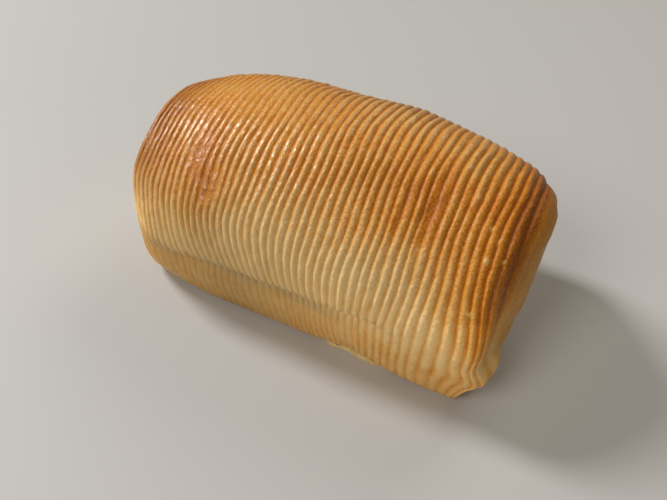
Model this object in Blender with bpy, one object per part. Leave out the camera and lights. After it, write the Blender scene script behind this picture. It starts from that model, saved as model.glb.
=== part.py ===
"""Croissant roll: a loaf of laminated dough with fine raised rings round its whole length.

The roll is one solid. X runs along it, Y across it and Z up. Its near side, with the long
fold, faces -Y. It rests on z = 0, and the origin lies under the middle of its bounding box.
"""

import bmesh
import bpy
import numpy as np

NODE_NAME = "croissant_roll"
MM = 0.001  # metres in a millimetre. Everything up to the mesh is worked out in millimetres
TURN = 2.0 * np.pi

# The loaf
HALF_LENGTH = 50.0  # from the middle to the rim of each end, without the bulge of its face
HALF_WIDTH = 32.7  # at the widest height, without the rings
HEIGHT = 54.4  # at the highest ring, without the ring itself
WIDEST_Z = 23.5
DOME_POWER = 1.18  # 1 is an ellipse, and more is steeper
HIGHEST_X = 11.0
LEFT_DROP, LEFT_DROP_POWER = 0.21, 2.8  # share of the height lost towards the left end
RIGHT_DROP, RIGHT_DROP_POWER = 0.147, 1.9
LEFT_ROUND_FROM, LEFT_ROUND, LEFT_ROUND_POWER = -13.0, 0.165, 5.0
RIGHT_ROUND_FROM, RIGHT_ROUND, RIGHT_ROUND_POWER = 36.0, 0.25, 7.0

# The long folds, under which each side tucks in over a lower band
FOLD_Z = 21.3
FOLD_SINK, FOLD_SINK_RUN = 3.0, (-6.0, -44.0)  # how much lower the fold is at the left end
FOLD_DEPTH, BACK_FOLD_DEPTH = 3.0, 1.5
FOLD_LEAST = 0.04  # share of the depth that is left where a fold has run out
FRONT_FOLD_START, FRONT_FOLD_FADE = (-50.0, -38.0), (14.0, 32.0)
BACK_FOLD_START, BACK_FOLD_FADE = (-34.0, -14.0), (16.0, 36.0)
BAND_BULGE = 1.3

# The foot: the underside is flat, and its edge is lifted a little off what it rests on
FOOT_HALF_WIDTH = 27.2
FOOT_INSET, FOOT_LIFT = 2.2, 1.8
LIFTED_X, LIFTED_SPREAD, LIFTED_MORE = 14.0, 12.0, 1.8

# Rings of dough
RING_COUNT = 47
FIRST_PITCH, LAST_PITCH, PITCH_CHANGE = 1.95, 2.25, 0.07
RING_PLACES = (0.0, 0.30, 0.58)  # shares of the pitch: crest, shoulder, valley
RING_LEVELS = (1.0, 0.78, 0.0)
RING_HEIGHT = 0.75
FOOT_GROWTH, BAND_GROWTH = (0.5, 6.0), (14.0, 24.0)  # girths over which the rings grow
# Share of a ring's height below the folds, and how it grows where the near fold runs out
BAND_STRENGTH, RIGHT_BAND_STRENGTH, RIGHT_BAND_X = 0.45, 0.8, (12.0, 30.0)
TOP_LOSS, TOP_LOSS_X, TOP_LOSS_GIRTH = 0.4, (15.0, -25.0), (50.0, 68.0)
FAR_LOSS, FAR_LOSS_X, FAR_LOSS_RUN = 0.4, (5.0, 30.0), (70.0, 84.0)
# Slow dents of the skin: depth, wavelengths along and round the roll, both over a full turn
DENTS = ((0.35, 57.0, 107.0), (0.2, 27.0, 69.0))
# Waver of the rings along the roll: reach and the same two wavelengths
WAVERS = ((0.28, 82.0, 44.0), (0.14, 31.0, 19.5))
WAVER_MARGIN = 4.0  # the rings run straight this close to the ends
# Places along and round where the rings have run together: middle, spread, middle, spread, loss
MERGED_PATCHES = ((-24.0, 4.0, 42.0, 6.0, 0.6), (28.0, 1.6, 52.0, 12.0, 0.8))
# Low on the sides the rings lean towards +X, most on the left half and near the right end
LEFT_LEAN, LEFT_LEAN_FADE = 5.5, (24.0, -12.0)
LEFT_END_LOSS, LEFT_END_RUN = 0.15, (-35.0, -50.0)  # share of that lean lost at the left end
RIGHT_LEAN, RIGHT_LEAN_START, RIGHT_LEAN_FADE = 3.4, (31.0, 43.0), (52.0, 43.0)
LEFT_LEAN_GIRTH, RIGHT_LEAN_GIRTH = (38.0, 18.0), (46.0, 24.0)  # from none to all of it

# The ends and the loose tail of dough at the near foot of the right end
RIGHT_BULGE, LEFT_BULGE = 6.0, 4.3
FACE_CENTRE_Z = 31.0
FACE_POWER = 5.0
RIM_FADE = 5.0  # how soon the unevenness of the rim dies out towards the middle
FACE_START = (1.0, 0.8)  # shares of the rim's size over which the face's own relief sets in
SPIRAL_TURNS, SPIRAL_PHASE, SPIRAL_DEPTH = 1.6, -0.46, 0.6
LOBE_Z, LOBE_EDGE, LOBE_STEP = 25.0, 2.0, 0.8  # each face is set back below this height
FACE_SLOPE, FACE_SLOPE_Z = 1.8, (45.0, 38.0)  # and its top leans out
TAIL_FROM = 33.0
TAIL_OUT, TAIL_MIDDLE, TAIL_SPREAD = 3.0, 15.5, 3.5
TAIL_BACK, TAIL_FOOT = 2.2, (12.0, 2.0)
FOOT_FORWARD, FOOT_FORWARD_X = 1.3, (16.0, 38.0)  # how far the near foot comes out there

# Points round the girth, stretch by stretch, and on each end: across its underside and inwards
BAND_POINTS, TUCK_POINTS, DOME_POINTS = 4, 3, 22
BASE_POINTS, FACE_RINGS = 7, 5

CRUST_COLOUR = (0.62, 0.31, 0.10, 1.0)
CRUST_ROUGHNESS = 0.42


def smooth_step(low, high, value):
    share = np.clip((value - low) / (high - low), 0.0, 1.0)
    return share * share * (3.0 - 2.0 * share)


def swell(value, centre, spread):
    return np.exp(-(((value - centre) / spread) ** 2))


def ring_stations():
    """Places along the roll of the crests, shoulders and valleys, and each one's level."""
    number = np.arange(RING_COUNT)
    pitch = np.linspace(FIRST_PITCH, LAST_PITCH, RING_COUNT)
    pitch = pitch * (1.0 + PITCH_CHANGE * (np.sin(1.7 * number) + 0.6 * np.sin(4.1 * number + 1.0)))
    pitch *= 2.0 * HALF_LENGTH / pitch.sum()
    starts = np.cumsum(pitch) - pitch - HALF_LENGTH
    places = starts[:, None] + pitch[:, None] * np.array(RING_PLACES)[None, :]
    levels = np.broadcast_to(RING_LEVELS, places.shape)
    return np.append(places, HALF_LENGTH), np.append(levels, RING_LEVELS[0])


def share_past(start, end, along):
    """0 before start, growing to 1 at end, whichever way the end lies."""
    return np.clip((along - start) / (end - start), 0.0, 1.0)


def width_share(along):
    left = LEFT_ROUND * share_past(LEFT_ROUND_FROM, -HALF_LENGTH, along) ** LEFT_ROUND_POWER
    right = RIGHT_ROUND * share_past(RIGHT_ROUND_FROM, HALF_LENGTH, along) ** RIGHT_ROUND_POWER
    return 1.0 - left - right


def height_share(along):
    left = LEFT_DROP * share_past(HIGHEST_X, -HALF_LENGTH, along) ** LEFT_DROP_POWER
    right = RIGHT_DROP * share_past(HIGHEST_X, HALF_LENGTH, along) ** RIGHT_DROP_POWER
    return 1.0 - left - right


def side_profile(along, depth, lifted):
    """Half width and height from the foot up to the widest point, for one side of the roll."""
    inset = FOOT_INSET + LIFTED_MORE * lifted
    lift = FOOT_LIFT + LIFTED_MORE * lifted
    fold_z = FOLD_Z - FOLD_SINK * smooth_step(*FOLD_SINK_RUN, along)
    rise = np.linspace(0.0, 1.0, BAND_POINTS, endpoint=False)[None, :]
    under_fold = HALF_WIDTH - depth
    band_y = FOOT_HALF_WIDTH + (under_fold - FOOT_HALF_WIDTH) * rise + BAND_BULGE * np.sin(np.pi * rise)
    band_z = lift + (fold_z - lift) * rise
    turn = np.linspace(np.pi / 2, 0.0, TUCK_POINTS, endpoint=False)[None, :]
    tuck_y = HALF_WIDTH - depth * (1.0 - np.cos(turn))
    tuck_z = WIDEST_Z - (WIDEST_Z - fold_z) * np.sin(turn)
    across = np.concatenate([FOOT_HALF_WIDTH - inset, band_y, tuck_y], axis=1)
    height = np.concatenate([0.0 * along, band_z, tuck_z], axis=1)
    return across, height


def fold_share(start, fade, along):
    """Share of a fold's depth, which grows over start and runs out over fade."""
    run = smooth_step(*start, along) * (1.0 - smooth_step(*fade, along))
    return FOLD_LEAST + (1.0 - FOLD_LEAST) * run


def section(along):
    """Y and Z of the plain loaf, without rings: one row of points for each place along it."""
    front_depth = FOLD_DEPTH * fold_share(FRONT_FOLD_START, FRONT_FOLD_FADE, along)
    back_depth = BACK_FOLD_DEPTH * fold_share(BACK_FOLD_START, BACK_FOLD_FADE, along)
    lifted = swell(along, LIFTED_X, LIFTED_SPREAD)
    front_y, front_z = side_profile(along, front_depth, lifted)
    back_y, back_z = side_profile(along, back_depth, 0.0 * along)
    turn = np.linspace(0.0, np.pi, DOME_POINTS)[None, :]
    dome_y = -HALF_WIDTH * np.cos(turn) + 0.0 * along
    dome_z = WIDEST_Z + (HEIGHT - WIDEST_Z) * np.abs(np.sin(turn)) ** DOME_POWER + 0.0 * along
    across = np.concatenate([-front_y, dome_y, back_y[:, ::-1]], axis=1)
    height = np.concatenate([front_z, dome_z, back_z[:, ::-1]], axis=1)
    return across * width_share(along), height * height_share(along)


def girth_from_foot(across, height):
    """Length along the section from the nearer foot."""
    steps = np.hypot(np.diff(across, axis=1), np.diff(height, axis=1))
    run = np.concatenate([np.zeros((len(across), 1)), np.cumsum(steps, axis=1)], axis=1)
    return run, np.minimum(run, run[:, -1:] - run)


def outward(across, height):
    """Unit normals of each section, in its own plane."""
    step_y = np.gradient(across, axis=1)
    step_z = np.gradient(height, axis=1)
    size = np.hypot(step_y, step_z)
    return -step_z / size, step_y / size


def ring_strength(along, run, girth):
    """Share of the full height that the rings have, from none at the foot."""
    strength = smooth_step(*FOOT_GROWTH, girth)
    rise = smooth_step(*RIGHT_BAND_X, along)
    band = BAND_STRENGTH + (RIGHT_BAND_STRENGTH - BAND_STRENGTH) * rise
    strength *= band + (1.0 - band) * smooth_step(*BAND_GROWTH, girth)
    strength *= 1.0 - TOP_LOSS * smooth_step(*TOP_LOSS_X, along) * smooth_step(*TOP_LOSS_GIRTH, girth)
    strength *= 1.0 - FAR_LOSS * smooth_step(*FAR_LOSS_X, along) * smooth_step(*FAR_LOSS_RUN, run)
    for x, spread, around, around_spread, loss in MERGED_PATCHES:
        strength *= 1.0 - loss * swell(along, x, spread) * swell(run, around, around_spread)
    return strength


def slow_waves(waves, along, run):
    """Sum of crossing waves over the skin, each one leaning the other way than the one before."""
    total = 0.0 * run
    for number, (reach, length_along, length_round) in enumerate(waves):
        lean = -run if number % 2 else run
        total += reach * np.sin(TURN * (along / length_along + lean / length_round) + number)
    return total


def skin_points():
    """The ringed skin, as an array of [place along, point of the girth, coordinate]."""
    places, levels = ring_stations()
    along = places[:, None]
    across, height = section(along)
    run, girth = girth_from_foot(across, height)
    normal_y, normal_z = outward(across, height)

    dents = slow_waves(DENTS, along, run)
    out = ring_strength(along, run, girth) * (RING_HEIGHT * levels[:, None] + dents)

    left_run = smooth_step(*LEFT_LEAN_FADE, along)
    left_run *= 1.0 - LEFT_END_LOSS * smooth_step(*LEFT_END_RUN, along)
    right_run = smooth_step(*RIGHT_LEAN_START, along) * smooth_step(*RIGHT_LEAN_FADE, along)
    lean = LEFT_LEAN * left_run * smooth_step(*LEFT_LEAN_GIRTH, girth)
    lean += RIGHT_LEAN * right_run * smooth_step(*RIGHT_LEAN_GIRTH, girth)
    inner = smooth_step(HALF_LENGTH, HALF_LENGTH - WAVER_MARGIN, np.abs(along))
    waver = inner * slow_waves(WAVERS, along, run)

    tail = smooth_step(TAIL_FROM, HALF_LENGTH, along)
    foot = smooth_step(*TAIL_FOOT, run)
    tail_shift = tail * (TAIL_OUT * swell(run, TAIL_MIDDLE, TAIL_SPREAD) - TAIL_BACK * foot)
    x = along + lean + waver + tail_shift
    y = across + out * normal_y - FOOT_FORWARD * smooth_step(*FOOT_FORWARD_X, along) * foot
    z = height + out * normal_z
    z[:, 0] = 0.0
    z[:, -1] = 0.0
    return np.stack([x, y, z], axis=2)


def base_points(ring):
    """Points across the underside of an end, from the last point of its ring to the first."""
    share = np.arange(1, BASE_POINTS + 1)[:, None] / (BASE_POINTS + 1.0)
    return ring[-1] + (ring[0] - ring[-1]) * share


def face_points(rim, way, bulge):
    """Rings of points from an end's rim in to its middle, with the soft spiral of rolled dough."""
    centre = np.array([way * HALF_LENGTH, (rim[:, 1].min() + rim[:, 1].max()) / 2.0, FACE_CENTRE_Z])
    angle = np.arctan2(rim[:, 2] - centre[2], rim[:, 1] - centre[1])
    rings = []
    for number in range(1, FACE_RINGS + 1):
        size = 1.0 - number / (FACE_RINGS + 1.0)
        ring = centre + (rim - centre) * np.array([size**RIM_FADE, size, size])
        groove = 0.5 + 0.5 * np.cos(TURN * SPIRAL_TURNS * size - angle + SPIRAL_PHASE)
        inside = smooth_step(*FACE_START, size)
        below = smooth_step(LOBE_Z + LOBE_EDGE, LOBE_Z - LOBE_EDGE, ring[:, 2])
        lower = smooth_step(*FACE_SLOPE_Z, ring[:, 2])
        set_back = inside * (SPIRAL_DEPTH * groove + LOBE_STEP * below + FACE_SLOPE * lower)
        ring[:, 0] += way * (bulge * (1.0 - size**FACE_POWER) - set_back)
        rings.append(ring)
    middle = centre + np.array([way * (bulge - FACE_SLOPE), 0.0, 0.0])
    return np.array(rings), middle


def all_points():
    """Skin, then base, face rings and middle of the right and the left end, over the origin."""
    skin = skin_points()
    groups = [skin]
    for ring, way, bulge in ((skin[-1], 1.0, RIGHT_BULGE), (skin[0], -1.0, LEFT_BULGE)):
        base = base_points(ring)
        rings, middle = face_points(np.concatenate([ring, base]), way, bulge)
        groups += [base, rings, middle[None]]
    every = np.concatenate([group.reshape(-1, 3) for group in groups])
    low, high = every.min(axis=0), every.max(axis=0)
    shift = np.array([(low[0] + high[0]) / 2, (low[1] + high[1]) / 2, low[2]])
    return [(group - shift) * MM for group in groups]


def new_ring(bm, points):
    return [bm.verts.new(point) for point in points]


def join_rings(bm, rings, closing):
    """Quads between neighbouring rings of vertices; closing also joins last point to first."""
    for ring, following in zip(rings, rings[1:]):
        count = len(ring) if closing else len(ring) - 1
        for index in range(count):
            after = (index + 1) % len(ring)
            bm.faces.new((ring[index], following[index], following[after], ring[after]))


def close_end(bm, ring, neighbour, base, face_rings, middle):
    """The last strip of the underside, the face from the rim in, and a fan round its middle."""
    bm.faces.new([neighbour[0], neighbour[-1], ring[-1]] + base + [ring[0]])
    rings = [ring + base] + face_rings
    join_rings(bm, rings, closing=True)
    last = rings[-1]
    for index in range(len(last)):
        bm.faces.new((last[index], middle, last[(index + 1) % len(last)]))


def crust_material():
    material = bpy.data.materials.new("baked_crust")
    material.use_nodes = True
    shader = material.node_tree.nodes["Principled BSDF"]
    shader.inputs["Base Color"].default_value = CRUST_COLOUR
    shader.inputs["Roughness"].default_value = CRUST_ROUGHNESS
    shader.inputs["Metallic"].default_value = 0.0
    return material


def build_roll():
    groups = all_points()
    bm = bmesh.new()
    skin = [new_ring(bm, points) for points in groups[0]]
    join_rings(bm, skin, closing=False)
    for ring, following in zip(skin[1:-1], skin[2:-1]):
        bm.faces.new((ring[-1], following[-1], following[0], ring[0]))
    for ring, neighbour, group in ((skin[-1], skin[-2], groups[1:4]), (skin[0], skin[1], groups[4:7])):
        base, face_rings, middle = group
        rings = [new_ring(bm, points) for points in face_rings]
        close_end(bm, ring, neighbour, new_ring(bm, base), rings, bm.verts.new(middle[0]))
    bmesh.ops.triangulate(bm, faces=bm.faces[:])
    bmesh.ops.recalc_face_normals(bm, faces=bm.faces[:])
    mesh = bpy.data.meshes.new(NODE_NAME)
    bm.to_mesh(mesh)
    bm.free()
    mesh.shade_smooth()
    roll = bpy.data.objects.new(NODE_NAME, mesh)
    roll.data.materials.append(crust_material())
    bpy.context.scene.collection.objects.link(roll)
    return roll


def main():
    for old in list(bpy.data.objects):
        bpy.data.objects.remove(old, do_unlink=True)
    build_roll()


main()
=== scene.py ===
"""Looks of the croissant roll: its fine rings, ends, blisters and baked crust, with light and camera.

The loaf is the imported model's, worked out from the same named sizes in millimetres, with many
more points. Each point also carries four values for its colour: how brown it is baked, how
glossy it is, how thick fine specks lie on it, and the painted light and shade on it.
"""

import math

import bpy
import numpy as np
from mathutils import Matrix, Vector


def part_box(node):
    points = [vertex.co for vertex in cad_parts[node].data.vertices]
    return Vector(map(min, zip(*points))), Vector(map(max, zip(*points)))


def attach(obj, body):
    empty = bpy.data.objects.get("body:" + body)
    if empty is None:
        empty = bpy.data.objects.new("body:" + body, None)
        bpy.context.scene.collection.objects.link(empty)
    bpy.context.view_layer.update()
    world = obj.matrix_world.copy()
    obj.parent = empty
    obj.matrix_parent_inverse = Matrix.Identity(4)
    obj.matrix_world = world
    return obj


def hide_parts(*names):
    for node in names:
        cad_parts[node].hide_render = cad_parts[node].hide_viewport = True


NODE = "croissant_roll"
MM = 0.001  # metres in a millimetre. Everything up to the mesh is worked out in millimetres
TURN = 2.0 * np.pi

# A point of the skin lies at a place along the roll, from its middle, and at a place round it:
# its run is the length round the roll from the near foot, its girth that from the nearer foot.

# ---------------------------------------------------------------- sizes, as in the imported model

# The loaf
HALF_LENGTH = 50.0  # from the middle to the rim of each end, without the bulge of its face
HALF_WIDTH = 32.7  # at the widest height, without the rings
HEIGHT = 54.4  # at the highest ring, without the ring itself
WIDEST_Z = 23.5
DOME_POWER = 1.18  # 1 is an ellipse, and more is steeper
HIGHEST_X = 11.0
LEFT_DROP, LEFT_DROP_POWER = 0.21, 2.8  # share of the height lost towards the left end
RIGHT_DROP, RIGHT_DROP_POWER = 0.147, 1.9
LEFT_ROUND_FROM, LEFT_ROUND, LEFT_ROUND_POWER = -13.0, 0.165, 5.0
RIGHT_ROUND_FROM, RIGHT_ROUND, RIGHT_ROUND_POWER = 36.0, 0.25, 7.0

# The long folds, under which each side tucks in over a lower band
FOLD_Z = 21.3
FOLD_SINK, FOLD_SINK_RUN = 3.0, (-6.0, -44.0)  # how much lower the fold is at the left end
FOLD_DEPTH, BACK_FOLD_DEPTH = 3.0, 1.5
FOLD_LEAST = 0.04  # share of the depth that is left where a fold has run out
FRONT_FOLD_START, FRONT_FOLD_FADE = (-50.0, -38.0), (14.0, 32.0)
BACK_FOLD_START, BACK_FOLD_FADE = (-34.0, -14.0), (16.0, 36.0)
BAND_BULGE = 1.3

# The foot: the underside is flat, and its edge is lifted a little off what it rests on
FOOT_HALF_WIDTH = 27.2
FOOT_INSET, FOOT_LIFT = 2.2, 1.8
LIFTED_X, LIFTED_SPREAD, LIFTED_MORE = 14.0, 12.0, 1.8

# Rings of dough
RING_COUNT = 47
FIRST_PITCH, LAST_PITCH, PITCH_CHANGE = 1.95, 2.25, 0.07
RING_HEIGHT = 0.75
FOOT_GROWTH, BAND_GROWTH = (0.5, 6.0), (14.0, 24.0)  # girths over which the rings grow
# Share of a ring's height below the folds, and how it grows where the near fold runs out
BAND_STRENGTH, RIGHT_BAND_STRENGTH, RIGHT_BAND_X = 0.45, 0.8, (12.0, 30.0)
TOP_LOSS, TOP_LOSS_X, TOP_LOSS_GIRTH = 0.4, (15.0, -25.0), (50.0, 68.0)
FAR_LOSS, FAR_LOSS_X, FAR_LOSS_RUN = 0.4, (5.0, 30.0), (70.0, 84.0)
# Slow dents of the skin: depth, wavelengths along and round the roll, both over a full turn
DENTS = ((0.35, 57.0, 107.0), (0.2, 27.0, 69.0))
# Waver of the rings along the roll: reach and the same two wavelengths
WAVERS = ((0.28, 82.0, 44.0), (0.14, 31.0, 19.5))
WAVER_MARGIN = 4.0  # the rings run straight this close to the ends
# Places along and round where the rings have run together: middle, spread, middle, spread, loss
MERGED_PATCHES = (
    (-24.0, 4.0, 42.0, 6.0, 0.6),
    (28.0, 1.6, 52.0, 12.0, 0.8),
    (-30.0, 3.2, 49.0, 6.5, 0.7),  # only here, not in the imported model
)
# Low on the sides the rings lean towards +X, most on the left half and near the right end
LEFT_LEAN, LEFT_LEAN_FADE = 5.5, (24.0, -12.0)
LEFT_END_LOSS, LEFT_END_RUN = 0.15, (-35.0, -50.0)  # share of that lean lost at the left end
RIGHT_LEAN, RIGHT_LEAN_START, RIGHT_LEAN_FADE = 3.4, (31.0, 43.0), (52.0, 43.0)
LEFT_LEAN_GIRTH, RIGHT_LEAN_GIRTH = (38.0, 18.0), (46.0, 24.0)  # from none to all of it

# The ends and the loose tail of dough at the near foot of the right end
RIGHT_BULGE, LEFT_BULGE = 6.0, 4.3
FACE_CENTRE_Z = 31.0
FACE_POWER = 5.0
RIM_FADE = 5.0  # how soon the unevenness of the rim dies out towards the middle
FACE_START = (1.0, 0.8)  # shares of the rim's size over which the face's own relief sets in
SPIRAL_TURNS, SPIRAL_PHASE, SPIRAL_DEPTH = 1.6, -0.46, 0.6
LOBE_Z, LOBE_EDGE, LOBE_STEP = 25.0, 2.0, 0.8  # each face is set back below this height
FACE_SLOPE, FACE_SLOPE_Z = 1.8, (45.0, 38.0)  # and its top leans out
TAIL_FROM = 33.0
TAIL_OUT, TAIL_MIDDLE, TAIL_SPREAD = 3.0, 15.5, 3.5
TAIL_BACK, TAIL_FOOT = 2.2, (12.0, 2.0)
FOOT_FORWARD, FOOT_FORWARD_X = 1.3, (16.0, 38.0)  # how far the near foot comes out there
CENTRE_X = 0.857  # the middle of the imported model's length, from the middle between the rims

# ---------------------------------------------------------------- sizes of the fine skin alone

# Points of the fine mesh
STEPS_PER_RING = 9
BAND_POINTS, TUCK_POINTS, DOME_POINTS = 27, 11, 130
BASE_POINTS, FACE_RINGS = 20, 20
FOLD_SOFT_POINTS, FOLD_SOFT_ROUNDS = 5, 9  # the inner corner of each fold is evened out
FOOT_SHARES = (0.0, 0.12, 0.2)  # places of the lowest points, as shares of the foot's slope

# Section of the rings
GROOVE_SHIFT = 0.08  # share of the pitch by which each groove lies nearer the next crest
CREST_ROUNDING = 2.0  # 1 is a sharp crest, and more is rounder, with a narrower groove
VALLEY_DEPTH = 0.05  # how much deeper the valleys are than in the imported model
SPIRAL_POWER = 3  # how narrow the spiral's groove is on the ends
# Each ring's own unevenness, as a share of its height, and its own waver, as a share of the
# pitch: reach, length round the roll, step from ring to ring through the noise, seed
CREST_UNEVEN = (0.2, 3.4, 5.3, 5)
RING_SWAY = (0.045, 3.6, 3.7, 3)
# On the lower band the rings lean further towards +X
BAND_LEAN, BAND_LEAN_GIRTH, BAND_LEAN_START = 2.0, (18.0, 3.0), (-49.0, -40.0)

# Grain of the skin, in two layers: height, how many times finer than the length, seed
GRAIN_LENGTH = 1.2
GRAINS = ((0.07, 1.0, 7), (0.035, 2.1, 8))
GRAIN_GROWTH = (0.0, 4.0)  # girths over which it sets in
ROUGHER = 1.2  # share by which the grain is higher where rings run together

# Small pale blisters: place along, place round from the near foot, radius
BLISTERS = (
    (43.2, 47.5, 0.7),
    (42.1, 54.9, 0.55),
    (46.6, 47.6, 0.45),
    (41.9, 35.6, 0.45),
    (44.3, 52.2, 0.45),
    (32.6, 68.4, 0.6),
    (36.5, 61.0, 0.5),
    (38.8, 29.5, 0.45),
    (25.2, 63.5, 0.5),
)
BLISTER_HEIGHT = 0.4
# Dark nicks between rings: place along, its spread, place round from the near foot, its spread
NICKS = ((22.8, 0.7, 56.5, 4.5), (29.9, 0.7, 58.0, 4.0), (21.2, 0.6, 50.0, 3.0))
NICK_DEPTH = 0.25

# A thin pale lip of dough that lies under the near foot
LIP_OUT, LIP_X, LIP_FADE = 2.7, (2.0, 29.0), 7.0
LIP_RAGGED, LIP_RAGGED_LENGTH, LIP_SEED = 0.1, 2.5, 19

# ---------------------------------------------------------------- camera, light and floor

# Camera: a 36 mm wide sensor, an image 667 pixels wide, and the place it looks at
FOCAL_PIXELS, IMAGE_WIDTH, SENSOR = 695.2, 667.0, 36.0
CAMERA_AZIMUTH, CAMERA_ELEVATION, CAMERA_ROLL = 20.2, 43.0, 6.63
CAMERA_DISTANCE = 182.6
CAMERA_TARGET = (3.343, -12.489, 20.0)

# Round lamps that face the origin: place and width in metres, power in watts, colour
LAMPS = {
    "window": ((-0.82, 0.03, 0.78), 0.3, 9.5, (1.0, 0.98, 0.98)),
    "front": ((-0.3, -0.8, 0.7), 0.45, 4.65, (1.0, 0.95, 0.88)),
    "right": ((0.9, -0.45, 0.4), 0.6, 0.65, (1.0, 0.86, 0.62)),
    "back": ((0.15, 0.85, 0.8), 0.6, 3.2, (1.0, 0.93, 0.80)),
}
WORLD_COLOUR, WORLD_STRENGTH = (1.0, 0.94, 0.86), 0.1  # soft light from all around

FLOOR_HALF, FLOOR_DROP = 1.5, 0.0001  # metres
FLOOR_COLOUR, FLOOR_ROUGHNESS = (0.50, 0.50, 0.49), 0.6


def smooth_step(low, high, value):
    share = np.clip((value - low) / (high - low), 0.0, 1.0)
    return share * share * (3.0 - 2.0 * share)


def swell(value, centre, spread):
    return np.exp(-(((value - centre) / spread) ** 2))


def lattice(column, row, seed):
    """A repeatable value from -1 to 1 for each whole-numbered place."""
    mixed = np.sin(column * 127.1 + row * 311.7 + seed * 74.7) * 43758.5453
    return 2.0 * (mixed - np.floor(mixed)) - 1.0


def noise(x, y, seed):
    """Smooth noise from -1 to 1, with bumps about one unit apart."""
    column, row = np.floor(x), np.floor(y)
    across, up = x - column, y - row
    across = across * across * (3.0 - 2.0 * across)
    up = up * up * (3.0 - 2.0 * up)
    low = lattice(column, row, seed) * (1.0 - across) + lattice(column + 1, row, seed) * across
    high = lattice(column, row + 1, seed) * (1.0 - across) + lattice(column + 1, row + 1, seed) * across
    return low * (1.0 - up) + high * up


# ---------------------------------------------------------------- the loaf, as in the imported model


def ring_stations():
    """Places along the roll, and each one's place in the count of rings: whole on every crest."""
    number = np.arange(RING_COUNT)
    pitch = np.linspace(FIRST_PITCH, LAST_PITCH, RING_COUNT)
    pitch = pitch * (1.0 + PITCH_CHANGE * (np.sin(1.7 * number) + 0.6 * np.sin(4.1 * number + 1.0)))
    pitch *= 2.0 * HALF_LENGTH / pitch.sum()
    starts = np.cumsum(pitch) - pitch - HALF_LENGTH
    phases = np.arange(STEPS_PER_RING) / STEPS_PER_RING
    places = starts[:, None] + pitch[:, None] * phases[None, :]
    rings = number[:, None] + phases[None, :]
    return np.append(places, HALF_LENGTH), np.append(rings, RING_COUNT)


def share_past(start, end, along):
    """0 before start, growing to 1 at end, whichever way the end lies."""
    return np.clip((along - start) / (end - start), 0.0, 1.0)


def width_share(along):
    left = LEFT_ROUND * share_past(LEFT_ROUND_FROM, -HALF_LENGTH, along) ** LEFT_ROUND_POWER
    right = RIGHT_ROUND * share_past(RIGHT_ROUND_FROM, HALF_LENGTH, along) ** RIGHT_ROUND_POWER
    return 1.0 - left - right


def height_share(along):
    left = LEFT_DROP * share_past(HIGHEST_X, -HALF_LENGTH, along) ** LEFT_DROP_POWER
    right = RIGHT_DROP * share_past(HIGHEST_X, HALF_LENGTH, along) ** RIGHT_DROP_POWER
    return 1.0 - left - right


def soften_fold(line):
    """Evens out the inner corner of the fold in a row of coordinates from the foot up."""
    fold = len(FOOT_SHARES) + BAND_POINTS
    part = line[:, fold - 1 - FOLD_SOFT_POINTS : fold + 1 + FOLD_SOFT_POINTS]
    for _ in range(FOLD_SOFT_ROUNDS):
        part[:, 1:-1] = 0.25 * part[:, :-2] + 0.5 * part[:, 1:-1] + 0.25 * part[:, 2:]


def side_profile(along, depth, lifted):
    """Half width and height from the foot up to the widest point, for one side of the roll."""
    inset = FOOT_INSET + LIFTED_MORE * lifted
    lift = FOOT_LIFT + LIFTED_MORE * lifted
    fold_z = FOLD_Z - FOLD_SINK * smooth_step(*FOLD_SINK_RUN, along)
    rise = np.linspace(0.0, 1.0, BAND_POINTS, endpoint=False)[None, :]
    under_fold = HALF_WIDTH - depth
    band_y = FOOT_HALF_WIDTH + (under_fold - FOOT_HALF_WIDTH) * rise + BAND_BULGE * np.sin(np.pi * rise)
    band_z = lift + (fold_z - lift) * rise
    turn = np.linspace(np.pi / 2, 0.0, TUCK_POINTS, endpoint=False)[None, :]
    tuck_y = HALF_WIDTH - depth * (1.0 - np.cos(turn))
    tuck_z = WIDEST_Z - (WIDEST_Z - fold_z) * np.sin(turn)
    slope = np.array(FOOT_SHARES)[None, :]
    across = np.concatenate([FOOT_HALF_WIDTH - inset * (1.0 - slope), band_y, tuck_y], axis=1)
    height = np.concatenate([lift * slope, band_z, tuck_z], axis=1)
    soften_fold(across)
    soften_fold(height)
    return across, height


def fold_share(start, fade, along):
    """Share of a fold's depth, which grows over start and runs out over fade."""
    run = smooth_step(*start, along) * (1.0 - smooth_step(*fade, along))
    return FOLD_LEAST + (1.0 - FOLD_LEAST) * run


def section(along):
    """Y and Z of the plain loaf, without rings: one row of points for each place along it."""
    front_depth = FOLD_DEPTH * fold_share(FRONT_FOLD_START, FRONT_FOLD_FADE, along)
    back_depth = BACK_FOLD_DEPTH * fold_share(BACK_FOLD_START, BACK_FOLD_FADE, along)
    lifted = swell(along, LIFTED_X, LIFTED_SPREAD)
    front_y, front_z = side_profile(along, front_depth, lifted)
    back_y, back_z = side_profile(along, back_depth, 0.0 * along)
    turn = np.linspace(0.0, np.pi, DOME_POINTS)[None, :]
    dome_y = -HALF_WIDTH * np.cos(turn) + 0.0 * along
    dome_z = WIDEST_Z + (HEIGHT - WIDEST_Z) * np.abs(np.sin(turn)) ** DOME_POWER + 0.0 * along
    across = np.concatenate([-front_y, dome_y, back_y[:, ::-1]], axis=1)
    height = np.concatenate([front_z, dome_z, back_z[:, ::-1]], axis=1)
    return across * width_share(along), height * height_share(along)


def girth_from_foot(across, height):
    """Length along the section from the near foot, and from the nearer of the two feet."""
    steps = np.hypot(np.diff(across, axis=1), np.diff(height, axis=1))
    run = np.concatenate([np.zeros((len(across), 1)), np.cumsum(steps, axis=1)], axis=1)
    return run, np.minimum(run, run[:, -1:] - run)


def outward(across, height):
    """Unit normals of each section, in its own plane."""
    step_y = np.gradient(across, axis=1)
    step_z = np.gradient(height, axis=1)
    size = np.hypot(step_y, step_z)
    return -step_z / size, step_y / size


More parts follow.
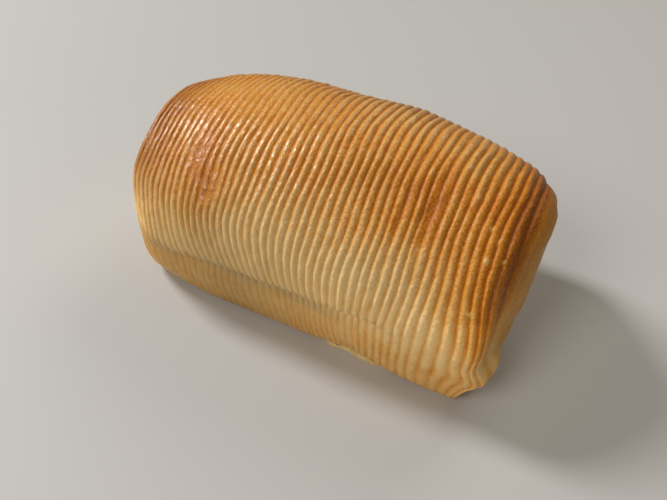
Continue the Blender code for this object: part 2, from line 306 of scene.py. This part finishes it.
def ring_strength(along, run, girth):
    """Share of the full height that the rings have, from none at the foot."""
    strength = smooth_step(*FOOT_GROWTH, girth)
    rise = smooth_step(*RIGHT_BAND_X, along)
    band = BAND_STRENGTH + (RIGHT_BAND_STRENGTH - BAND_STRENGTH) * rise
    strength *= band + (1.0 - band) * smooth_step(*BAND_GROWTH, girth)
    strength *= 1.0 - TOP_LOSS * smooth_step(*TOP_LOSS_X, along) * smooth_step(*TOP_LOSS_GIRTH, girth)
    strength *= 1.0 - FAR_LOSS * smooth_step(*FAR_LOSS_X, along) * smooth_step(*FAR_LOSS_RUN, run)
    for x, spread, around, around_spread, loss in MERGED_PATCHES:
        strength *= 1.0 - loss * swell(along, x, spread) * swell(run, around, around_spread)
    return strength


def slow_waves(waves, along, run):
    """Sum of crossing waves over the skin, each one leaning the other way than the one before."""
    total = 0.0 * run
    for number, (reach, length_along, length_round) in enumerate(waves):
        lean = -run if number % 2 else run
        total += reach * np.sin(TURN * (along / length_along + lean / length_round) + number)
    return total


# ---------------------------------------------------------------- the fine skin


def ring_noise(number, run, reach, length, step, seed):
    """Noise round each ring, which differs from ring to ring."""
    return reach * noise(number * step, run / length, seed)


def crest_level(ring, run):
    """Height of the ring's own curve from 0 in the groove to about 1 on the crest."""
    number = np.floor(ring + 0.5)
    sway = ring_noise(number, run, *RING_SWAY)
    phase = ring - np.floor(ring)
    phase = phase + (sway - GROOVE_SHIFT) * np.sin(np.pi * phase) ** 2
    level = 1.0 - (2.0 * np.minimum(phase, 1.0 - phase)) ** CREST_ROUNDING
    return level * (1.0 + ring_noise(number, run, *CREST_UNEVEN))


def spots(places, along, run):
    """Sum of soft spots over the skin, each one 1 in its middle."""
    total = 0.0 * run
    for x, spread, around, around_spread in places:
        total += swell(along, x, spread) * swell(run, around, around_spread)
    return total


def blistered(along, run):
    """From 0 on plain crust to 1 on the top of a blister."""
    return spots(((x, radius, around, radius) for x, around, radius in BLISTERS), along, run)


def merged(along, run):
    """From 0 on plain rings to 1 in the middle of a patch where rings run together."""
    return spots((patch[:-1] for patch in MERGED_PATCHES), along, run)


def skin_grain(along, run, girth):
    """Fine unevenness of the skin, higher where rings run together and none at the foot."""
    grain = 0.0 * run
    for height, times, seed in GRAINS:
        grain += height * noise(times * along / GRAIN_LENGTH, times * run / GRAIN_LENGTH, seed)
    return grain * (1.0 + ROUGHER * merged(along, run)) * smooth_step(*GRAIN_GROWTH, girth)


def ring_lean(along, girth):
    """How far the rings lean towards +X, low on the sides."""
    left_run = smooth_step(*LEFT_LEAN_FADE, along)
    left_run *= 1.0 - LEFT_END_LOSS * smooth_step(*LEFT_END_RUN, along)
    right_run = smooth_step(*RIGHT_LEAN_START, along) * smooth_step(*RIGHT_LEAN_FADE, along)
    lean = LEFT_LEAN * left_run * smooth_step(*LEFT_LEAN_GIRTH, girth)
    lean += RIGHT_LEAN * right_run * smooth_step(*RIGHT_LEAN_GIRTH, girth)
    on_band = smooth_step(*BAND_LEAN_GIRTH, girth) * smooth_step(*BAND_LEAN_START, along)
    return lean + BAND_LEAN * left_run * on_band


def lip(along):
    """About 1 where the thin lip of dough lies under the near foot, with a ragged edge."""
    start, end = LIP_X
    ragged = 1.0 + LIP_RAGGED * noise(along / LIP_RAGGED_LENGTH, 0.0 * along, LIP_SEED)
    return smooth_step(start, start + LIP_FADE, along) * smooth_step(end, end - LIP_FADE, along) * ragged


def fine_skin():
    """The ringed skin [place along, point of the girth], and facts of each point for its colour."""
    places, rings = ring_stations()
    along, ring = places[:, None], rings[:, None]
    across, height = section(along)
    run, girth = girth_from_foot(across, height)
    normal_y, normal_z = outward(across, height)

    level = crest_level(ring, run)
    strength = ring_strength(along, run, girth)
    dents = slow_waves(DENTS, along, run)
    ridges = (RING_HEIGHT + VALLEY_DEPTH) * level - VALLEY_DEPTH + dents
    blisters = blistered(along, run)
    nicks = spots(NICKS, along, run)
    out = strength * ridges + skin_grain(along, run, girth)
    out += BLISTER_HEIGHT * blisters - NICK_DEPTH * nicks

    inner = smooth_step(HALF_LENGTH, HALF_LENGTH - WAVER_MARGIN, np.abs(along))
    waver = inner * slow_waves(WAVERS, along, run)
    tail = smooth_step(TAIL_FROM, HALF_LENGTH, along)
    foot = smooth_step(*TAIL_FOOT, run)
    tail_shift = tail * (TAIL_OUT * swell(run, TAIL_MIDDLE, TAIL_SPREAD) - TAIL_BACK * foot)
    x = along + ring_lean(along, girth) + waver + tail_shift
    y = across + out * normal_y - FOOT_FORWARD * smooth_step(*FOOT_FORWARD_X, along) * foot
    z = height + out * normal_z
    z[:, 0] = 0.0
    z[:, -1] = 0.0
    lip_points = len(FOOT_SHARES) - 1
    y[:, :lip_points] -= LIP_OUT * lip(along)
    facts = {
        "along": along + 0.0 * run,
        "run": run,
        "girth": girth,
        "level": np.maximum(level, 0.0) * strength,
        "blisters": blisters,
        "nicks": nicks,
    }
    return np.stack([x, y, z], axis=2), facts


def base_points(ring):
    """Points across the underside of an end, from the last point of its ring to the first."""
    share = np.arange(1, BASE_POINTS + 1)[:, None] / (BASE_POINTS + 1.0)
    return ring[-1] + (ring[0] - ring[-1]) * share


def face_points(rim, way, bulge):
    """Rings of points from an end's rim in to its middle, with the soft spiral of rolled dough.

    The last value is 1 on the plain face and 0 in the spiral's groove.
    """
    centre = np.array([way * HALF_LENGTH, (rim[:, 1].min() + rim[:, 1].max()) / 2.0, FACE_CENTRE_Z])
    angle = np.arctan2(rim[:, 2] - centre[2], rim[:, 1] - centre[1])
    rings, levels = [], []
    for number in range(1, FACE_RINGS + 1):
        size = 1.0 - number / (FACE_RINGS + 1.0)
        ring = centre + (rim - centre) * np.array([size**RIM_FADE, size, size])
        groove = (0.5 + 0.5 * np.cos(TURN * SPIRAL_TURNS * size - angle + SPIRAL_PHASE)) ** SPIRAL_POWER
        inside = smooth_step(*FACE_START, size)
        below = smooth_step(LOBE_Z + LOBE_EDGE, LOBE_Z - LOBE_EDGE, ring[:, 2])
        lower = smooth_step(*FACE_SLOPE_Z, ring[:, 2])
        set_back = inside * (SPIRAL_DEPTH * groove + LOBE_STEP * below + FACE_SLOPE * lower)
        ring[:, 0] += way * (bulge * (1.0 - size**FACE_POWER) - set_back)
        rings.append(ring)
        levels.append(1.0 - inside * groove)
    middle = centre + np.array([way * (bulge - FACE_SLOPE), 0.0, 0.0])
    return np.array(rings), middle, np.array(levels)


# ---------------------------------------------------------------- how baked each point is, and its painted light and shade


def grows(fact, start, end):
    """A share that grows from 0 at start to 1 at end, whichever way the end lies."""
    return lambda facts: smooth_step(start, end, facts[fact])


def close_to(fact, centre, spread):
    """A share that is 1 at the centre and dies away over the spread on both sides of it."""
    return lambda facts: swell(facts[fact], centre, spread)


def zoned(zones, facts):
    """Sum over the zones, each one its amount times all the shares that bound it."""
    total = 0.0 * facts["run"]
    for amount, *shares in zones:
        part = amount
        for share in shares:
            part = part * share(facts)
        total += part
    return total


# Browning is 0 on raw pale dough, 1 golden, 2 orange-brown and 3 dark brown. It grows by BAKED
# from the raw low side to the baked top, over a blurred edge at a girth that changes by zones
RAW, BAKED = 0.2, 1.3
BAKED_EDGE, BAKED_BLUR = 45.0, 11.0
BAKED_EDGE_ZONES = ((-16.0, grows("along", 22.0, 46.0)), (-9.0, grows("along", -8.0, -28.0)))
# How much browner each zone is, or paler below 0: amount, then the shares that bound it
BROWN_ZONES = (
    # the top, and just beyond it on the far side
    (-0.5, grows("girth", 58.0, 74.0), grows("along", 0.0, -20.0)),
    (0.25, grows("along", -5.0, 15.0), grows("girth", 50.0, 62.0)),
    (-0.15, grows("girth", 62.0, 72.0), grows("along", -8.0, 4.0)),
    (-0.45, close_to("run", 83.0, 9.0), grows("along", -5.0, 10.0)),
    # the rim of the left end, high up and at the foot: browner crust there, partly its own baked colour
    # and partly painted shade on that end
    (0.6, grows("along", -33.0, -49.0), grows("girth", 24.0, 40.0), grows("girth", 70.0, 58.0)),
    (0.15, grows("along", -36.0, -48.0), grows("girth", 26.0, 14.0)),
    # the rim of the right end, ever darker towards its edge, and a brown spot low on it
    (0.85, grows("along", 36.0, 49.0), grows("girth", 16.0, 42.0)),
    (0.15, grows("along", 42.0, 50.0), grows("girth", 30.0, 48.0)),
    (0.6, grows("along", 46.0, 49.0), grows("girth", 36.0, 54.0)),
    (0.35, close_to("along", 44.5, 3.0), close_to("girth", 27.0, 9.0)),
    # round the nicks, and the two patches at the left where rings run together
    (0.35, close_to("along", 26.0, 12.0), close_to("run", 55.0, 10.0)),
    (0.5, close_to("along", -25.5, 2.4), close_to("run", 45.0, 9.0)),
    (0.35, close_to("along", -30.0, 4.0), close_to("run", 48.0, 8.0)),
    # the band below the folds, and low on the right
    (0.45, grows("girth", 22.0, 14.0)),
    (0.25, grows("along", 22.0, 40.0), grows("girth", 34.0, 20.0)),
)
# How much browner the grooves are, and how much paler than them the crests. This contrast is
# RIBBED_LEAST on raw dough, full on baked crust and low on the right, and less at the right foot
GROOVE_BROWNER, CREST_PALER, RIBBED_LEAST = 0.85, 1.2, 0.45
RIBBED_ZONES = ((1.0, grows("along", 8.0, 32.0), grows("girth", 6.0, 14.0)),)
PLAIN_ZONES = ((0.6, grows("along", 34.0, 46.0), grows("girth", 18.0, 8.0)),)
# Mottling of the edge and of the browning: reach, lengths along and round the roll, seed
EDGE_MOTTLE = ((2.5, 9.0, 30.0, 11),)
BROWN_MOTTLE = ((0.15, 7.0, 9.0, 13), (0.12, 1.7, 2.2, 17))
LIP_PALER, LIP_RUN = 1.0, (3.0, 1.5)  # how much paler the lip is, and the run over which it gets so
BLISTER_PALER, NICK_BROWNER = 0.9, 0.8  # a share of the browning, and an amount

# Painted light and shade: how much each zone brightens the crust's colour, or shades it where the amount
# is below 0
PAINTED_LIGHT_ZONES = (
    # painted shade in the folds, on the low left and on the left end's upper rim
    (-0.22, close_to("girth", 19.5, 2.6), grows("along", 24.0, 6.0)),
    (-0.12, grows("girth", 20.0, 14.0), grows("along", 2.0, -26.0)),
    (-0.3, grows("along", -34.0, -50.0), grows("girth", 30.0, 38.0)),
    # painted shade on the left side, high on the right and on the right end's rim
    (-0.14, close_to("along", -23.0, 8.0), grows("girth", 48.0, 40.0)),
    (-0.13, close_to("along", 14.0, 9.0), close_to("girth", 59.0, 8.0)),
    (-0.3, grows("along", 44.0, 48.0), grows("girth", 32.0, 44.0)),
    # painted light low on the right and low on the left end's rim
    (0.22, grows("along", -8.0, 18.0), grows("girth", 40.0, 24.0)),
    (0.3, grows("along", -42.0, -48.0), grows("girth", 32.0, 24.0)),
)

# How glossy each zone is: a little all over but at the right end, most high on the left, and
# less again towards the left end
GLAZE_ZONES = (
    (0.2, grows("along", 44.0, 32.0)),
    (0.8, grows("along", 12.0, -10.0), close_to("run", 54.0, 16.0)),
    (-0.4, grows("along", 12.0, -10.0), close_to("run", 54.0, 16.0), grows("along", -34.0, -48.0)),
)
GLAZE_LEVEL, GLAZE_RUN = (0.1, 0.8), (20.0, 36.0)  # it grows up each ring and up the near side
GLAZE_MERGED = 0.35  # where rings have run together, their level counts as this much higher
GLAZE_SMOOTHER = 0.26  # how much lower the roughness is where the glaze is 1

# Share of the fine browned specks on plain dough, and the girths over which they come to cover
# the crust: the first of them sinks towards the right
SPECKS_LEAST, SPECKS_GIRTH = 0.25, (30.0, 46.0)
SPECKS_SINK, SPECKS_SINK_RUN = 8.0, (0.0, 40.0)

# The two ends: how brown each one is, and its painted light, which below 1 is painted shade on the end
RIGHT_FACE, LEFT_FACE = (1.25, 0.93), (0.55, 1.0)
BASE_BROWN, SPIRAL_BROWNER = 0.5, 0.4  # across the end's underside, and added in the spiral's groove
# The rim's own values reach onto the end. Its rings of points are from this near the rim to 0 in
# the middle, and powers of that nearness are the shares that the rim's values have in theirs
NEAR_RIM, BROWN_RIM_POWER, PAINTED_LIGHT_RIM_POWER = 0.8, 6, 3


def mottle(layers, facts):
    """Sum of noises over the skin."""
    total = 0.0 * facts["run"]
    for reach, length_along, length_round, seed in layers:
        total += reach * noise(facts["along"] / length_along, facts["run"] / length_round, seed)
    return total


def browning(facts):
    """How brown each point is baked, from 0 on raw dough to 3 on dark crust."""
    edge = BAKED_EDGE + zoned(BAKED_EDGE_ZONES, facts) + mottle(EDGE_MOTTLE, facts)
    baked = smooth_step(edge - BAKED_BLUR, edge + BAKED_BLUR, facts["girth"])
    ribbed = np.maximum(baked, zoned(RIBBED_ZONES, facts))
    contrast = (RIBBED_LEAST + (1.0 - RIBBED_LEAST) * ribbed) * (1.0 - zoned(PLAIN_ZONES, facts))
    brown = RAW + BAKED * baked + zoned(BROWN_ZONES, facts) + mottle(BROWN_MOTTLE, facts)
    brown += (GROOVE_BROWNER - CREST_PALER * np.clip(facts["level"], 0.0, 1.0)) * contrast
    brown -= LIP_PALER * lip(facts["along"]) * smooth_step(*LIP_RUN, facts["run"])
    brown *= 1.0 - BLISTER_PALER * np.clip(facts["blisters"], 0.0, 1.0)
    return brown + NICK_BROWNER * facts["nicks"]


def painted_light(facts):
    """Painted light and shade on the crust's colour: 1 leaves it as it is, more brightens it and less
    shades it.
    """
    return 1.0 + zoned(PAINTED_LIGHT_ZONES, facts)


def glaze(facts):
    """1 where the crests shine most and 0 where the crust is dull."""
    level = facts["level"] + GLAZE_MERGED * merged(facts["along"], facts["run"])
    shine = zoned(GLAZE_ZONES, facts) * smooth_step(*GLAZE_LEVEL, level)
    return shine * smooth_step(*GLAZE_RUN, facts["run"])


def speckled(facts):
    """1 where fine browned specks cover the crust and less where the dough is plain."""
    start, end = SPECKS_GIRTH
    start = start - SPECKS_SINK * smooth_step(*SPECKS_SINK_RUN, facts["along"])
    return SPECKS_LEAST + (1.0 - SPECKS_LEAST) * smooth_step(start, end, facts["girth"])


def end_values(levels, rim_brown, rim_painted_light, baked, end_painted_light):
    """The same values on an end: on its base points, then its rings of points and its middle."""
    near_rim = np.linspace(NEAR_RIM, 0.0, FACE_RINGS)[:, None]
    base_brown, base_painted_light = np.full(BASE_POINTS, BASE_BROWN), np.full(BASE_POINTS, end_painted_light)
    rim_brown = np.append(rim_brown, base_brown)
    rim_painted_light = np.append(rim_painted_light, base_painted_light)
    brown = baked + SPIRAL_BROWNER * (1.0 - levels) + near_rim**BROWN_RIM_POWER * (rim_brown - baked)
    # painted light and shade on the end, with the rim's painted light and shade reaching in near its edge
    shade = end_painted_light + near_rim**PAINTED_LIGHT_RIM_POWER * (rim_painted_light - end_painted_light)
    plain = np.zeros(BASE_POINTS + levels.size + 1)
    return {
        "brown": np.concatenate([base_brown, brown.ravel(), [baked]]),
        "glaze": plain,
        "speckled": plain,
        "painted_light": np.concatenate([base_painted_light, shade.ravel(), [end_painted_light]]),
    }


# ---------------------------------------------------------------- the mesh


def grid_faces(rows, columns, closing, first=0):
    """Quads of a grid of points numbered row by row; closing joins each row's last to its first."""
    faces = []
    for row in range(rows - 1):
        for column in range(columns if closing else columns - 1):
            after = (column + 1) % columns
            here, there = first + row * columns, first + (row + 1) * columns
            faces.append((here + column, there + column, there + after, here + after))
    return faces


def end_faces(rim, first):
    """Faces from an end's rim in over its rings of points, numbered from first, to its middle."""
    count = len(rim)
    last, middle = first + (FACE_RINGS - 1) * count, first + FACE_RINGS * count
    faces = []
    for index in range(count):
        after = (index + 1) % count
        faces.append((rim[index], first + index, first + after, rim[after]))
        faces.append((last + index, middle, last + after))
    return faces + grid_faces(FACE_RINGS, count, closing=True, first=first)


def roll_mesh():
    """Points, faces and values of the whole roll, in millimetres, before it is centred."""
    skin, facts = fine_skin()
    rows, columns = skin.shape[:2]
    # shade is the painted light and shade of each point, 1 where none is painted
    brown, shade = browning(facts), painted_light(facts)
    on_skin = {"brown": brown, "glaze": glaze(facts), "speckled": speckled(facts), "painted_light": shade}
    points = list(skin.reshape(-1, 3))
    values = [{value: numbers.ravel() for value, numbers in on_skin.items()}]
    faces = grid_faces(rows, columns, closing=False)
    for row in range(1, rows - 2):
        here, there = row * columns, (row + 1) * columns
        faces.append((here + columns - 1, there + columns - 1, there, here))
    # each end's last value is its painted light: below 1 it paints shade on the end
    right_end = (rows - 1, rows - 2, 1.0, RIGHT_BULGE, *RIGHT_FACE)
    left_end = (0, 1, -1.0, LEFT_BULGE, *LEFT_FACE)
    for row, neighbour, way, bulge, baked, end_painted_light in (right_end, left_end):
        base = base_points(skin[row])
        rings, middle, levels = face_points(np.concatenate([skin[row], base]), way, bulge)
        ring_ids = list(range(row * columns, (row + 1) * columns))
        base_ids = list(range(len(points), len(points) + BASE_POINTS))
        points += [*base, *rings.reshape(-1, 3), middle]
        beside, beside_last = neighbour * columns, (neighbour + 1) * columns - 1
        strip = (beside, beside_last, ring_ids[-1], *base_ids, ring_ids[0])
        closing_faces = [strip] + end_faces(ring_ids + base_ids, base_ids[-1] + 1)
        faces += closing_faces if way > 0 else [face[::-1] for face in closing_faces]
        values.append(end_values(levels, brown[row], shade[row], baked, end_painted_light))
    joined = {value: np.concatenate([part[value] for part in values]) for value in on_skin}
    return np.array(points), faces, joined


def into_box(points):
    """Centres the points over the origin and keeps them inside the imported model's own box."""
    low, high = (np.array(corner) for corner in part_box(NODE))
    centre_y = (points[:, 1].min() + points[:, 1].max()) / 2.0
    moved = (points - np.array([CENTRE_X, centre_y, 0.0])) * MM
    return np.clip(moved, low, high)


def new_piece(name, points, faces, values):
    mesh = bpy.data.meshes.new(name)
    mesh.from_pydata([tuple(point) for point in points], [], faces)
    for value, numbers in values.items():
        layer = mesh.attributes.new(value, "FLOAT", "POINT")
        layer.data.foreach_set("value", np.asarray(numbers, dtype=np.float32))
    mesh.validate()
    mesh.shade_smooth()
    piece = bpy.data.objects.new(name, mesh)
    bpy.context.scene.collection.objects.link(piece)
    return piece


# ---------------------------------------------------------------- materials


def node(tree, kind, **inputs):
    """A new shader node, with its named sockets set or linked."""
    made = tree.nodes.new(kind)
    for name, value in inputs.items():
        socket = made.inputs[name.replace("_", " ")]
        if isinstance(value, bpy.types.NodeSocket):
            tree.links.new(value, socket)
        else:
            socket.default_value = value
    return made


def attribute(tree, name):
    made = tree.nodes.new("ShaderNodeAttribute")
    made.attribute_name = name
    return made.outputs["Fac"]


def math_node(tree, operation, first, second):
    made = tree.nodes.new("ShaderNodeMath")
    made.operation = operation
    for socket, value in zip(made.inputs, (first, second)):
        if isinstance(value, bpy.types.NodeSocket):
            tree.links.new(value, socket)
        else:
            socket.default_value = value
    return made.outputs[0]


def ramp(tree, factor, stops):
    made = tree.nodes.new("ShaderNodeValToRGB")
    tree.links.new(factor, made.inputs["Fac"])
    elements = made.color_ramp.elements
    while len(elements) < len(stops):
        elements.new(0.5)
    for element, (place, colour) in zip(elements, stops):
        element.position = place
        element.color = (*colour, 1.0)
    return made.outputs["Color"]


def texture(tree, place, scale, detail, roughness):
    """Noise from 0 to 1 over the object."""
    made = node(tree, "ShaderNodeTexNoise", Vector=place, Scale=scale, Detail=detail, Roughness=roughness)
    return made.outputs["Fac"]


def swing(tree, noise_value, reach):
    """The noise as a change to either side of 0."""
    return math_node(tree, "MULTIPLY", math_node(tree, "SUBTRACT", noise_value, 0.5), reach)


def bumps(tree, place, scale, distance, **over):
    """Normals with small bumps, over those of other bumps where they are given."""
    height = texture(tree, place, scale, detail=1.0, roughness=0.5)
    made = node(tree, "ShaderNodeBump", Height=height, Strength=1.0, Distance=distance, **over)
    return made.outputs["Normal"]


# Baked colours, from raw dough to dark crust, and the browning at which each one is reached
CRUST_COLOURS = (
    (0.00, (0.72, 0.51, 0.23)),
    (0.60, (0.69, 0.43, 0.15)),
    (1.20, (0.64, 0.325, 0.075)),
    (1.80, (0.59, 0.23, 0.016)),
    (2.40, (0.50, 0.158, 0.004)),
    (3.00, (0.37, 0.100, 0.001)),
)
MOST_BROWN = 3.0
CRUST_SETTINGS = {
    "Specular IOR Level": 0.3,
    "Coat Roughness": 0.13,
    "Coat IOR": 1.7,
    "Subsurface Weight": 0.15,
    "Subsurface Radius": (1.0, 0.35, 0.1),
    "Subsurface Scale": 0.0012,
}


def crust_colour(tree, place):
    """The colour of the browning at each point, mottled, speckled and scaled by its painted light and
    shade.
    """
    patches = swing(tree, texture(tree, place, scale=90.0, detail=3.0, roughness=0.55), reach=0.6)
    clouds = swing(tree, texture(tree, place, scale=420.0, detail=4.0, roughness=0.6), reach=0.9)
    specks = swing(tree, texture(tree, place, scale=1700.0, detail=2.0, roughness=0.7), reach=3.0)
    specks = math_node(tree, "MULTIPLY", specks, attribute(tree, "speckled"))
    change = math_node(tree, "ADD", patches, math_node(tree, "ADD", clouds, specks))
    total = math_node(tree, "ADD", attribute(tree, "brown"), change)
    factor = math_node(tree, "DIVIDE", total, MOST_BROWN)
    stops = [(amount / MOST_BROWN, colour) for amount, colour in CRUST_COLOURS]
    # the ramp's colour is scaled by the painted light and shade
    painted_lit = tree.nodes.new("ShaderNodeVectorMath")
    painted_lit.operation = "SCALE"
    tree.links.new(ramp(tree, factor, stops), painted_lit.inputs[0])
    tree.links.new(attribute(tree, "painted_light"), painted_lit.inputs["Scale"])
    return painted_lit.outputs["Vector"]


def crust_roughness(tree, place, glazed):
    """Uneven roughness, lower where the crust is glazed."""
    uneven = texture(tree, place, scale=900.0, detail=2.0, roughness=0.5)
    reach = {"From_Min": 0.35, "From_Max": 0.65, "To_Min": 0.44, "To_Max": 0.60}
    rough = node(tree, "ShaderNodeMapRange", Value=uneven, **reach)
    smoother = math_node(tree, "MULTIPLY", glazed, -GLAZE_SMOOTHER)
    return math_node(tree, "ADD", rough.outputs["Result"], smoother)


def crust_material():
    material = bpy.data.materials.new("baked_crust")
    material.use_nodes = True
    tree = material.node_tree
    shader = tree.nodes["Principled BSDF"]
    place = tree.nodes.new("ShaderNodeTexCoord").outputs["Object"]
    glazed = attribute(tree, "glaze")
    pores = bumps(tree, place, scale=1600.0, distance=0.0002)
    linked = {
        "Base Color": crust_colour(tree, place),
        "Roughness": crust_roughness(tree, place, glazed),
        "Coat Weight": glazed,
        "Normal": bumps(tree, place, scale=520.0, distance=0.00025, Normal=pores),
        "Coat Normal": bumps(tree, place, scale=1450.0, distance=0.0004),
    }
    for name, socket in linked.items():
        tree.links.new(socket, shader.inputs[name])
    for name, value in CRUST_SETTINGS.items():
        shader.inputs[name].default_value = value
    return material


def floor_material():
    material = bpy.data.materials.new("pale_floor")
    material.use_nodes = True
    shader = material.node_tree.nodes["Principled BSDF"]
    shader.inputs["Base Color"].default_value = (*FLOOR_COLOUR, 1.0)
    shader.inputs["Roughness"].default_value = FLOOR_ROUGHNESS
    return material


# ---------------------------------------------------------------- pieces, light and camera


def make_roll():
    points, faces, values = roll_mesh()
    piece = new_piece("baked_roll", into_box(points), faces, values)
    piece.data.materials.append(crust_material())
    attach(piece, "root")
    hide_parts(NODE)


def make_floor():
    corners = [(x * FLOOR_HALF, y * FLOOR_HALF, 0.0) for x, y in ((-1, -1), (1, -1), (1, 1), (-1, 1))]
    mesh = bpy.data.meshes.new("floor")
    mesh.from_pydata(corners, [], [(0, 1, 2, 3)])
    mesh.materials.append(floor_material())
    floor = bpy.data.objects.new("floor", mesh)
    floor.location.z = -FLOOR_DROP
    bpy.context.scene.collection.objects.link(floor)


def make_light():
    for name, (place, width, power, colour) in LAMPS.items():
        light = bpy.data.lights.new(name, "AREA")
        light.shape = "DISK"
        light.size = width
        light.energy = power
        light.color = colour
        lamp = bpy.data.objects.new(name, light)
        lamp.location = place
        lamp.rotation_euler = (-Vector(place)).to_track_quat("-Z", "Y").to_euler()
        bpy.context.scene.collection.objects.link(lamp)
    world = bpy.data.worlds.new("studio")
    world.use_nodes = True
    background = world.node_tree.nodes["Background"]
    background.inputs["Color"].default_value = (*WORLD_COLOUR, 1.0)
    background.inputs["Strength"].default_value = WORLD_STRENGTH
    bpy.context.scene.world = world
    bpy.context.scene.view_settings.view_transform = "Standard"


def make_camera():
    """A camera at the fitted distance and direction, rolled about its own view axis."""
    azimuth, elevation, roll = (
        math.radians(angle) for angle in (CAMERA_AZIMUTH, CAMERA_ELEVATION, CAMERA_ROLL)
    )
    back = Vector(
        (
            math.sin(azimuth) * math.cos(elevation),
            -math.cos(azimuth) * math.cos(elevation),
            math.sin(elevation),
        )
    )
    right = (-back).cross(Vector((0.0, 0.0, 1.0))).normalized()
    up = right.cross(-back)
    turned_right = math.cos(roll) * right + math.sin(roll) * up
    turned_up = math.cos(roll) * up - math.sin(roll) * right
    matrix = Matrix((turned_right, turned_up, back)).transposed().to_4x4()
    matrix.translation = Vector(CAMERA_TARGET) * MM + back * CAMERA_DISTANCE * MM
    data = bpy.data.cameras.new("camera")
    data.sensor_width = SENSOR
    data.lens = FOCAL_PIXELS / IMAGE_WIDTH * SENSOR
    data.clip_start = 0.01
    camera = bpy.data.objects.new("camera", data)
    camera.matrix_world = matrix
    bpy.context.scene.collection.objects.link(camera)
    bpy.context.scene.camera = camera


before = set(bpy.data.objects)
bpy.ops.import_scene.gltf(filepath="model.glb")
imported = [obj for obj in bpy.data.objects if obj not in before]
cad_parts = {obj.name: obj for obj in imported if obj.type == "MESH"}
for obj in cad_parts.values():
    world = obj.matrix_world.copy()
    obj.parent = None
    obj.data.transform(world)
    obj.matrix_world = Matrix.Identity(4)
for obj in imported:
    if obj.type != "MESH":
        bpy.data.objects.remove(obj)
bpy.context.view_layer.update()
make_roll()
make_floor()
make_light()
make_camera()
